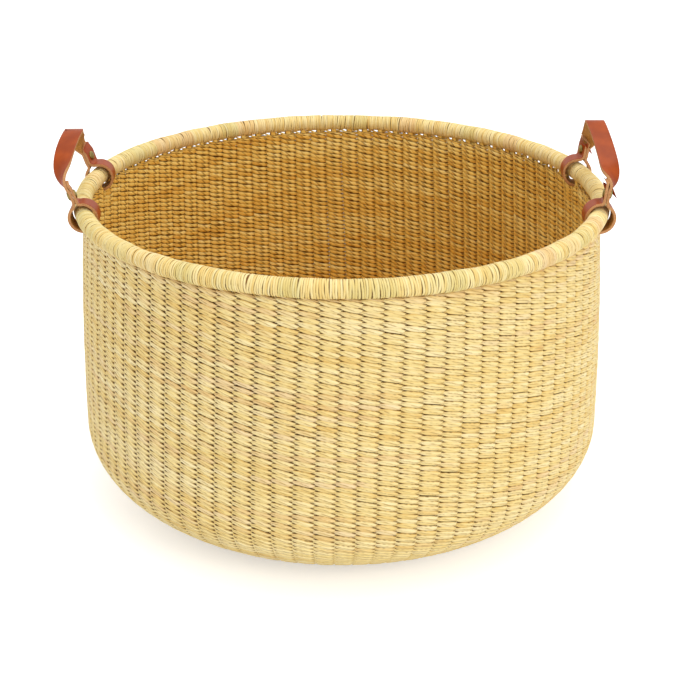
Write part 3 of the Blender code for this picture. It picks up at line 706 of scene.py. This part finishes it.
def buildRivets(name, handle, brass):
    # a rivet's cap is the top of a ball, squashed to a low dome with an upright edge
    near = 1 if math.cos(chordOf(handle)["facing"]) > 0 else -1
    for end, sign in (("near", near), ("far", -near)):
        for kind, side in (("post", 1), ("cap", -1)):
            deselectAll()
            radius = strapSize["capDiameter"] / 2
            bpy.ops.mesh.primitive_uv_sphere_add(segments=rivet["segments"], ring_count=rivet["rings"], radius=radius)
            piece = bpy.context.object
            piece.name = f"{name}{end.capitalize()}Rivet{kind.capitalize()}"
            bpy.ops.object.mode_set(mode="EDIT")
            bpy.ops.mesh.select_all(action="SELECT")
            bpy.ops.mesh.bisect(plane_co=(0, 0, 0), plane_no=(0, 0, 1), clear_inner=True, use_fill=True)
            bpy.ops.mesh.select_all(action="SELECT")
            dome = rivet["capHeight"] - rivet["capEdge"]
            bpy.ops.transform.resize(value=(1, 1, dome / radius), center_override=(0, 0, 0))
            bpy.ops.mesh.select_all(action="DESELECT")
            bpy.ops.object.mode_set(mode="OBJECT")
            for face in piece.data.polygons:
                face.select = face.normal.z < -0.9 and abs(face.center.z) < 1e-5
            bpy.ops.object.mode_set(mode="EDIT")
            bpy.ops.mesh.extrude_region_move(TRANSFORM_OT_translate={"value": (0, 0, -rivet["capEdge"])})
            if kind == "post":
                inset = (strapSize["capDiameter"] - rivet["postDiameter"]) / 2
                bpy.ops.mesh.inset(thickness=inset)
                reach = 2 * strapSize["thickness"] + strapSize["plyGap"]
                bpy.ops.mesh.extrude_region_move(TRANSFORM_OT_translate={"value": (0, 0, -reach)})
            bpy.ops.object.mode_set(mode="OBJECT")
            twist = sign * math.radians(handle["twist"])
            outward = Vector((math.sin(twist), math.cos(twist), 0))
            middle = Vector((sign * chordOf(handle)["halfLength"], strapSize["stemSetOut"], rivetHeight(handle)))
            reach = strapSize["thickness"] + strapSize["plyGap"] / 2 + rivet["capEdge"]
            place = Matrix.Translation(middle + outward * side * reach)
            turn = Matrix.Rotation(-twist, 4, "Z") @ Matrix.Rotation(-side * math.pi / 2, 4, "X")
            piece.matrix_world = handleMatrix(handle) @ place @ turn
            applyPlace(piece)
            bpy.ops.object.shade_smooth_by_angle(angle=math.radians(40))
            finish(piece, brass, f"{name}_handle", "antique_brass", f"{name}_{end}_rivet_{kind}")
    print("rivets:", name)


# materials

def grassMaterial(name, look):
    # dry grass keeps its long fibres, which give fine streaks along each strand and a faint sheen on its skin
    material, tree, shader = newMaterial(name)
    along = addNode(tree, "ShaderNodeUVMap", uv_map="alongStrand").outputs["UV"]

    def stretchedNoise(alongScale, acrossScale, detail):
        place = addNode(tree, "ShaderNodeMapping", {"Vector": along, "Scale": (alongScale, acrossScale, 1)})
        noise = addNode(tree, "ShaderNodeTexNoise", {"Vector": place.outputs["Vector"], "Scale": 1.0,
                                                     "Detail": detail})
        return noise.outputs["Fac"]

    def attribute(key):
        return addNode(tree, "ShaderNodeAttribute", attribute_name=key).outputs["Fac"]

    def sum3(first, second, third=0.0, operation="MULTIPLY_ADD"):
        return addNode(tree, "ShaderNodeMath", {0: first, 1: second, 2: third}, operation=operation).outputs[0]

    def between(value, low, high):
        return addNode(tree, "ShaderNodeMapRange", {"Value": value, "From Min": low, "From Max": high},
                       interpolation_type="SMOOTHSTEP").outputs[0]

    def mixed(factor, first, second):
        return addNode(tree, "ShaderNodeMix", {0: factor, 6: first, 7: second}, data_type="RGBA").outputs[2]

    fibre = stretchedNoise(22, 14, 3.0)
    patch = stretchedNoise(60, 1.5, 3.0)
    tone, tint = attribute("tone"), attribute("tint")
    outward = between(attribute("facing"), -0.4, 0.4)
    level = sum3(patch, 0.30, sum3(fibre, look["streak"], sum3(tone, 0.30)))
    outer = rampNode(tree, level, look["outside"])
    # the faces that look into the basket take a more golden copy of the colours, painted for the shade and bounced
    # light inside it
    inner = rampNode(tree, level, look["inside"])
    outer = mixed(sum3(between(tint, 0.25, 1.0), 0.35), outer, srgb("#E0B08A"))
    outer = mixed(sum3(between(tint, -0.25, -1.0), 0.35), outer, srgb("#C2BC74"))
    colour = mixed(outward, inner, outer)
    # each strand is twisted from two splits of grass, with a fine dark line between them here and there
    split = addNode(tree, "ShaderNodeSeparateXYZ", {"Vector": along}).outputs["Y"]
    split = sum3(split, 2.0, sum3(patch, 0.36, -0.18 + 0.17))
    split = addNode(tree, "ShaderNodeMath", {0: split, 1: 0.5}, operation="PINGPONG").outputs[0]
    breaks = between(stretchedNoise(130, 2.0, 2.0), 0.36, 0.60)
    line = sum3(between(split, look["lineWidth"], 0.0), sum3(breaks, 0.6, 0.4), operation="MULTIPLY")
    line = sum3(line, sum3(outward, look["lineOutside"] - look["lineInside"], look["lineInside"]))
    # painted shade in the creases where strands meet, the darkest between two stakes
    edge = addNode(tree, "ShaderNodeMath", {0: attribute("edge")}, operation="ABSOLUTE").outputs[0]
    creaseShade = sum3(between(edge, look["creaseShadeFrom"], 0.95), sum3(breaks, look["creaseShadeStrength"], attribute("slit")),
                   operation="MULTIPLY")
    dark = addNode(tree, "ShaderNodeMath", {0: line, 1: creaseShade}, operation="MAXIMUM", use_clamp=True).outputs[0]
    # the ply lines and the lighter painted shade turn the colour golden brown, and the deepest painted shade turns it
    # dark brown
    colour = mixed(sum3(between(dark, 0.0, 0.55), 0.80), colour, mixed(outward, srgb("#7E480A"), srgb("#96651A")))
    colour = mixed(between(dark, 0.45, 1.0), colour, mixed(outward, srgb("#603200"), srgb("#4A2802")))
    height = sum3(dark, -0.6, sum3(between(split, 0.0, 0.30), look["plyRelief"], sum3(fibre, 0.4)))
    bump = addNode(tree, "ShaderNodeBump", {"Height": height, "Strength": 0.7, "Distance": 0.0006})
    tree.links.new(colour, shader.inputs["Base Color"])
    tree.links.new(bump.outputs["Normal"], shader.inputs["Normal"])
    shader.inputs["Roughness"].default_value = look["roughness"]
    shader.inputs["Specular IOR Level"].default_value = 0.35
    return material


def bundleMaterial():
    # the loose grass inside the rim lies in the shade of its binding
    material, tree, shader = newMaterial("bundledElephantGrass")
    place = addNode(tree, "ShaderNodeTexCoord").outputs["Object"]
    grain = addNode(tree, "ShaderNodeTexNoise", {"Vector": place, "Scale": 400.0, "Detail": 3.0}).outputs["Fac"]
    colour = rampNode(tree, grain, [(0.3, "#5E3A12"), (0.7, "#9A6B2A")])
    tree.links.new(colour, shader.inputs["Base Color"])
    shader.inputs["Roughness"].default_value = 0.8
    return material


def leatherMaterials():
    # vegetable-tanned cowhide: a waxed grain side with fine pores, a fibrous flesh side, and raw cut edges
    grain, tree, shader = newMaterial("waxedGrainLeather")
    place = addNode(tree, "ShaderNodeTexCoord").outputs["Object"]
    cloud = addNode(tree, "ShaderNodeTexNoise", {"Vector": place, "Scale": 70.0, "Detail": 5.0}).outputs["Fac"]
    pores = addNode(tree, "ShaderNodeTexVoronoi", {"Vector": place, "Scale": 1400.0}).outputs["Distance"]
    colour = rampNode(tree, cloud, [(0.25, "#8C3606"), (0.50, "#983E08"), (0.75, "#A8480E")])
    bump = addNode(tree, "ShaderNodeBump", {"Height": pores, "Strength": 0.12, "Distance": 0.0002}).outputs["Normal"]
    rough = addNode(tree, "ShaderNodeMapRange", {"Value": cloud, "To Min": 0.34, "To Max": 0.42}).outputs[0]
    tree.links.new(colour, shader.inputs["Base Color"])
    tree.links.new(bump, shader.inputs["Normal"])
    tree.links.new(rough, shader.inputs["Roughness"])
    shader.inputs["Specular IOR Level"].default_value = 0.22
    flesh, tree, shader = newMaterial("fleshSideLeather")
    place = addNode(tree, "ShaderNodeTexCoord").outputs["Object"]
    nap = addNode(tree, "ShaderNodeTexNoise", {"Vector": place, "Scale": 900.0, "Detail": 6.0}).outputs["Fac"]
    colour = rampNode(tree, nap, [(0.3, "#9C6522"), (0.7, "#C08A3E")])
    bump = addNode(tree, "ShaderNodeBump", {"Height": nap, "Strength": 0.4, "Distance": 0.0003}).outputs["Normal"]
    tree.links.new(colour, shader.inputs["Base Color"])
    tree.links.new(bump, shader.inputs["Normal"])
    shader.inputs["Roughness"].default_value = 0.85
    edge, tree, shader = newMaterial("rawEdgeLeather")
    place = addNode(tree, "ShaderNodeTexCoord").outputs["Object"]
    layers = addNode(tree, "ShaderNodeTexNoise", {"Vector": place, "Scale": 1100.0, "Detail": 4.0}).outputs["Fac"]
    colour = rampNode(tree, layers, [(0.3, "#A56A3C"), (0.7, "#CC9A66")])
    tree.links.new(colour, shader.inputs["Base Color"])
    shader.inputs["Roughness"].default_value = 0.75
    return grain, flesh, edge


def brassMaterial():
    # stamped brass with a brown antique finish, rubbed brighter here and there
    material, tree, shader = newMaterial("antiquedStampedBrass")
    place = addNode(tree, "ShaderNodeTexCoord").outputs["Object"]
    worn = addNode(tree, "ShaderNodeTexNoise", {"Vector": place, "Scale": 500.0, "Detail": 5.0}).outputs["Fac"]
    colour = rampNode(tree, worn, [(0.35, "#7D6C3C"), (0.65, "#A8965C")])
    rough = addNode(tree, "ShaderNodeMapRange", {"Value": worn, "To Min": 0.32, "To Max": 0.5}).outputs[0]
    tree.links.new(colour, shader.inputs["Base Color"])
    tree.links.new(rough, shader.inputs["Roughness"])
    shader.inputs["Metallic"].default_value = 1.0
    return material


# a more golden copy of the straw colours for the faces that look into the basket, painted for the shade and bounced
# light inside it
shadedInsideStops = [(0.25, "#C88A2C"), (0.42, "#E8B44A"), (0.58, "#F6CF6C"), (0.80, "#FDE59A")]
twinedGrass = grassMaterial("twinedElephantGrass", {
    "outside": [(0.20, "#D6A44C"), (0.36, "#EAC674"), (0.50, "#F3DA92"), (0.74, "#FBEBB8")],
    "inside": shadedInsideStops, "streak": 0.46, "lineWidth": 0.13, "lineOutside": 0.42, "lineInside": 0.85,
    "creaseShadeFrom": 0.58, "creaseShadeStrength": 0.12, "plyRelief": 0.9, "roughness": 0.55})
splitGrass = grassMaterial("splitGrassBinding", {
    "outside": [(0.22, "#D6A951"), (0.40, "#E9CC80"), (0.56, "#F2DD9E"), (0.80, "#F8EABE")],
    "inside": shadedInsideStops, "streak": 0.42, "lineWidth": 0.0001, "lineOutside": 0.0, "lineInside": 0.0,
    "creaseShadeFrom": 0.60, "creaseShadeStrength": 0.66, "plyRelief": 0.0, "roughness": 0.50})
bundleGrass = bundleMaterial()
leather = leatherMaterials()
brass = brassMaterial()

buildTwining(twinedGrass)
buildStakes(twinedGrass)
buildRim(splitGrass, bundleGrass)
for name, handle in handles.items():
    buildStrap(name, handle, leather)
    buildRivets(name, handle, brass)


# the studio: a pale floor that runs on to a white background, soft light from three area lamps in front and above

studio = {
    "floorSize": 12.0, "floorColour": "#F4F4F2", "cameraDistance": 5.5, "elevation": 18.4,
    "pixelFocal": 1398.0, "aim": (341.7, 191.8), "worldStrength": 0.88,
}


def buildStudio():
    deselectAll()
    bpy.ops.mesh.primitive_plane_add(size=studio["floorSize"], location=(0, 0, 0))
    floor = bpy.context.object
    floor.name = "studioFloor"
    material, tree, shader = newMaterial("paleStudioFloor")
    shader.inputs["Base Color"].default_value = srgb(studio["floorColour"])
    shader.inputs["Roughness"].default_value = 0.9
    path = addNode(tree, "ShaderNodeLightPath")
    glow = addNode(tree, "ShaderNodeEmission", {"Color": (1, 1, 1, 1), "Strength": 0.45})
    both = addNode(tree, "ShaderNodeAddShader", {0: shader.outputs[0], 1: glow.outputs[0]})
    seen = addNode(tree, "ShaderNodeMixShader", {0: path.outputs["Is Camera Ray"], 1: shader.outputs[0],
                                                  2: both.outputs[0]})
    tree.links.new(seen.outputs[0], tree.nodes["Material Output"].inputs["Surface"])
    floor.data.materials.append(material)
    world = bpy.data.worlds.new("studioWorld")
    bpy.context.scene.world = world
    world.use_nodes = True
    tree = world.node_tree
    light = tree.nodes["Background"]
    light.inputs["Color"].default_value = (1, 1, 1, 1)
    light.inputs["Strength"].default_value = studio["worldStrength"]
    white = addNode(tree, "ShaderNodeBackground", {"Color": (1, 1, 1, 1), "Strength": 1.0})
    path = addNode(tree, "ShaderNodeLightPath")
    mirror = addNode(tree, "ShaderNodeMath", {0: path.outputs["Is Camera Ray"], 1: path.outputs["Is Glossy Ray"]},
                     operation="MAXIMUM")
    seen = addNode(tree, "ShaderNodeMixShader", {0: mirror.outputs[0], 1: light.outputs[0], 2: white.outputs[0]})
    tree.links.new(seen.outputs[0], tree.nodes["World Output"].inputs["Surface"])
    lamps = (
        ("keyLight", (1.4, -2.0, 1.5), 1.0, 15),
        ("fillLight", (-0.6, -2.4, 1.8), 1.4, 4),
        ("topLight", (0.2, 0.2, 2.6), 1.4, 19),
    )
    for name, place, size, power in lamps:
        lamp = bpy.data.lights.new(name, "AREA")
        lamp.size = size
        lamp.energy = power
        thing = bpy.data.objects.new(name, lamp)
        thing.location = place
        thing.rotation_euler = (Vector((0, 0, 0.15)) - Vector(place)).to_track_quat("-Z", "Y").to_euler()
        bpy.context.scene.collection.objects.link(thing)


def buildCamera():
    # the photo's frame is 674 by 676 pixels; the rim's middle lies at the aim's pixel
    elevation = math.radians(studio["elevation"])
    focal = studio["pixelFocal"]
    yaw = math.atan((337 - studio["aim"][0]) / focal)
    down = elevation + math.atan((338 - studio["aim"][1]) / focal)
    distance = studio["cameraDistance"] * basket["rimCentre"]
    camera = bpy.data.objects.new("camera", bpy.data.cameras.new("camera"))
    bpy.context.scene.collection.objects.link(camera)
    camera.location = (0, -math.cos(elevation) * distance, basket["rimHeight"] + math.sin(elevation) * distance)
    forward = Vector((math.sin(yaw) * math.cos(down), math.cos(yaw) * math.cos(down), -math.sin(down)))
    camera.rotation_euler = forward.to_track_quat("-Z", "Y").to_euler()
    camera.data.sensor_fit = "HORIZONTAL"
    camera.data.sensor_width = 36
    camera.data.lens = focal * 36 / 674
    camera.data.clip_end = 50
    bpy.context.scene.camera = camera


buildStudio()
buildCamera()
bpy.context.scene.view_settings.view_transform = "Standard"
bpy.context.view_layer.update()
print("studio and camera ready")
